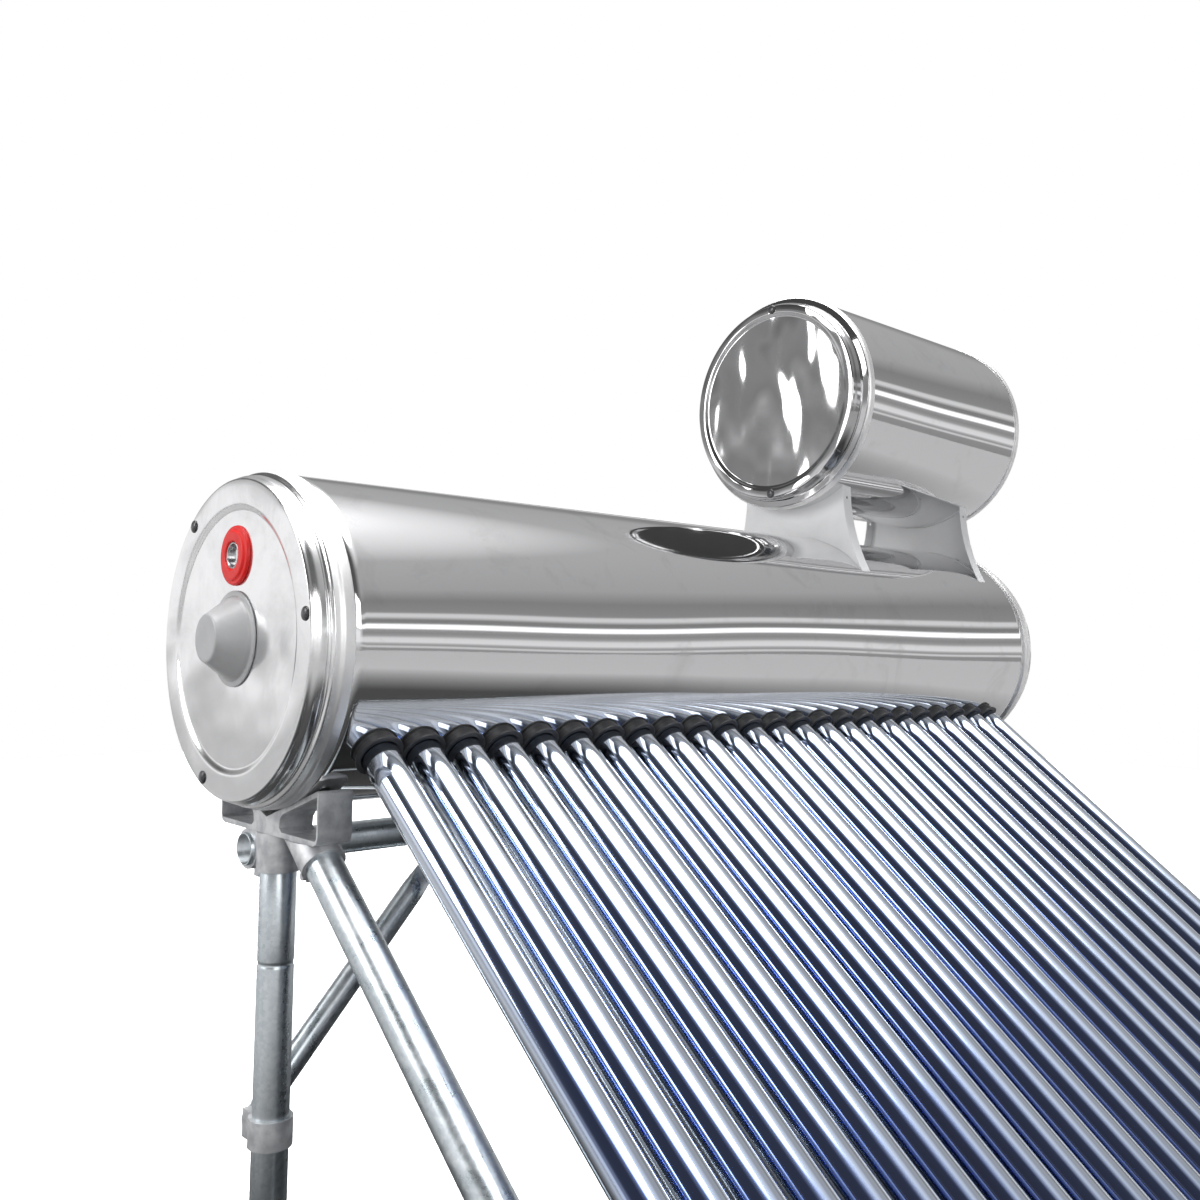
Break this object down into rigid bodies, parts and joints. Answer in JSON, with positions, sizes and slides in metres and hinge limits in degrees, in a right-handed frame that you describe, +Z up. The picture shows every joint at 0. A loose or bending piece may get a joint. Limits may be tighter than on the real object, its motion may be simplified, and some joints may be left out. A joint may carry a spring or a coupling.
{
  "type": "solar water heater",
  "caption": "Thermosiphon solar water heater: evacuated glass tubes into an insulated horizontal tank, a float-fed feeder tank above, on a pipe stand.",
  "frame": {"origin": "on the floor, under the middle of the heater's bounding box", "axes": "+X along the tank, from the end with the element cover to the end under the feeder tank; the tubes slope down towards -Y; +Z up"},
  "size_m": [2.113, 1.8494, 2.219],
  "materials": {
    "mirror_jacket": "polished stainless sheet",
    "cap_steel": "bright stamped stainless",
    "inner_steel": "2B stainless",
    "foam": "rigid polyurethane foam",
    "red_silicone": "moulded silicone",
    "orange_silicone": "moulded silicone",
    "dark_rubber": "moulded rubber",
    "dark_plastic": "push rivets",
    "grey_plastic": "satin moulded",
    "anode": "cast magnesium",
    "tube_glass": "borosilicate glass",
    "absorber": "selective coating on glass",
    "spring_steel": "spring stainless",
    "galvanised": "galvanised pipe",
    "cast_alloy": "cast and blasted",
    "white_sheet": "powder coat",
    "brass": "machined",
    "white_plastic": "machined acetal",
    "float_plastic": "blow moulded, hollow in the real one",
    "zinc_bolts": "zinc plated"
  },
  "bodies": {
    "heater": {"tank_jacket": "mirror_jacket", "tank_foam": "foam", "tank_inner": "inner_steel", "cap_left": "cap_steel", "cap_right": "cap_steel", "cap_rivets": "dark_plastic", "port_rings": "red_silicone", "port_left": "inner_steel", "port_right": "inner_steel", "element_cover": "grey_plastic", "anode_rod": "anode", "tube_seals": "orange_silicone", "dust_rings": "dark_rubber", "tubes_row_1": "tube_glass", "tubes_row_2": "tube_glass", "tubes_row_3": "tube_glass", "tubes_row_4": "tube_glass", "tubes_row_5": "tube_glass", "tubes_row_6": "tube_glass", "absorber_tubes": "absorber", "spring_clips": "spring_steel", "tail_cups": "dark_rubber", "tail_rail": "galvanised", "feeder_jacket": "mirror_jacket", "feeder_foam_shell": "foam", "feeder_inner": "inner_steel", "feeder_cap_left": "cap_steel", "feeder_cap_right": "cap_steel", "stand_plate_left": "white_sheet", "stand_plate_right": "white_sheet", "link_pipe": "inner_steel", "link_grommets": "dark_rubber", "float_valve": "brass", "valve_pin": "spring_steel", "cradle_left": "cast_alloy", "cradle_right": "cast_alloy", "rear_socket_left": "cast_alloy", "rear_socket_right": "cast_alloy", "front_socket_left": "cast_alloy", "front_socket_right": "cast_alloy", "rear_leg_left": "galvanised", "rear_leg_right": "galvanised", "front_leg_left": "galvanised", "front_leg_right": "galvanised", "top_beam": "galvanised", "lower_beam": "galvanised", "side_struts": "galvanised", "brace_left": "galvanised", "brace_right": "galvanised", "brace_clamps": "cast_alloy", "lower_fittings": "cast_alloy", "rail_brackets": "cast_alloy", "feet": "cast_alloy", "stand_bolts": "zinc_bolts"},
    "plunger": {"valve_plunger": "white_plastic"},
    "float": {"float_arm": "brass", "float_ball": "float_plastic"}
  },
  "joints": [
    {"name": "float_hinge", "type": "hinge", "parent": "heater", "child": "float", "pos_m": [0.9102, 0.6617, 2.06905], "axis": [0, 1, 0], "range_deg": [0, 32]},
    {"name": "plunger_slide", "type": "slide", "parent": "heater", "child": "plunger", "axis": [1, 0, 0], "range_m": [0, 0.00636]}
  ],
  "couplings": [
    {"joint": "plunger_slide", "follows": "float_hinge", "m_per_rad": 0.011386}
  ]
}
